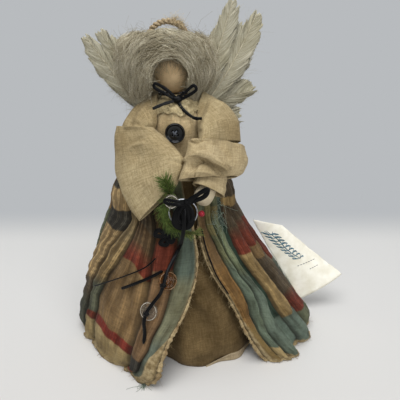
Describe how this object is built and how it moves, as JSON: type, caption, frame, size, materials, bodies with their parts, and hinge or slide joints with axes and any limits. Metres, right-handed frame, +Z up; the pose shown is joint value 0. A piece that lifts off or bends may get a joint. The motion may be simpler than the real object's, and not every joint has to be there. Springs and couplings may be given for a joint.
{
  "type": "angel ornament",
  "caption": "Standing stuffed cloth angel with feather wings, wool hair, a twisted halo, a muslin jacket, an open gathered quilt skirt and a small wreath in hand.",
  "frame": {"origin": "centre of the stuffed body's flat base, on the surface the doll stands on", "axes": "+Z up, along the doll; the face and the skirt's opening look along -Y; +X is to the right of someone who looks at the front"},
  "size_m": [0.2734, 0.1767, 0.302],
  "materials": {
    "muslin": "plain woven muslin",
    "brown_muslin": "tea-dyed muslin",
    "cream_cotton": "natural cotton",
    "quilt": "faded patchwork quilt",
    "gauze": "frayed gauze",
    "wool": "unspun wool",
    "jute": "twisted jute",
    "feather": "natural feather",
    "black_button": "gloss",
    "grey_thread": "matt",
    "black_satin": "satin",
    "silver_wire": "bright",
    "pine": "matt",
    "red_berry": "gloss",
    "clear_plastic": "clear gloss",
    "card": "cream paper card"
  },
  "bodies": {
    "root": {"arm_left": "muslin", "arm_right": "muslin", "button_stitches": "grey_thread", "chest_button": "black_button", "clear_button_low": "clear_plastic", "clear_button_middle": "clear_plastic", "clear_button_top": "clear_plastic", "cuff_left": "cream_cotton", "cuff_right": "cream_cotton", "feather_left_1": "feather", "feather_left_2": "feather", "feather_left_3": "feather", "feather_left_4": "feather", "feather_left_5": "feather", "feather_left_6": "feather", "feather_right_1": "feather", "feather_right_2": "feather", "feather_right_3": "feather", "feather_right_4": "feather", "feather_right_5": "feather", "feather_right_6": "feather", "feather_right_7": "feather", "hair": "wool", "halo": "jute", "hang_tag": "card", "head": "muslin", "jacket_bodice": "cream_cotton", "lace_tail": "black_satin", "long_lace": "black_satin", "neck_bow": "black_satin", "neck_gauze": "gauze", "pine_garland": "pine", "pine_sprig_low": "pine", "pine_sprig_top": "pine", "quilt_overskirt": "quilt", "red_berry": "red_berry", "ribbon_rosette": "black_satin", "sleeve_left": "cream_cotton", "sleeve_right": "cream_cotton", "stuffed_body": "muslin", "thin_cord_left": "black_satin", "thin_cord_right": "black_satin", "underskirt": "brown_muslin", "wreath_bow": "black_satin", "wreath_wire": "silver_wire", "wrist_band": "cream_cotton"}
  },
  "joints": []
}
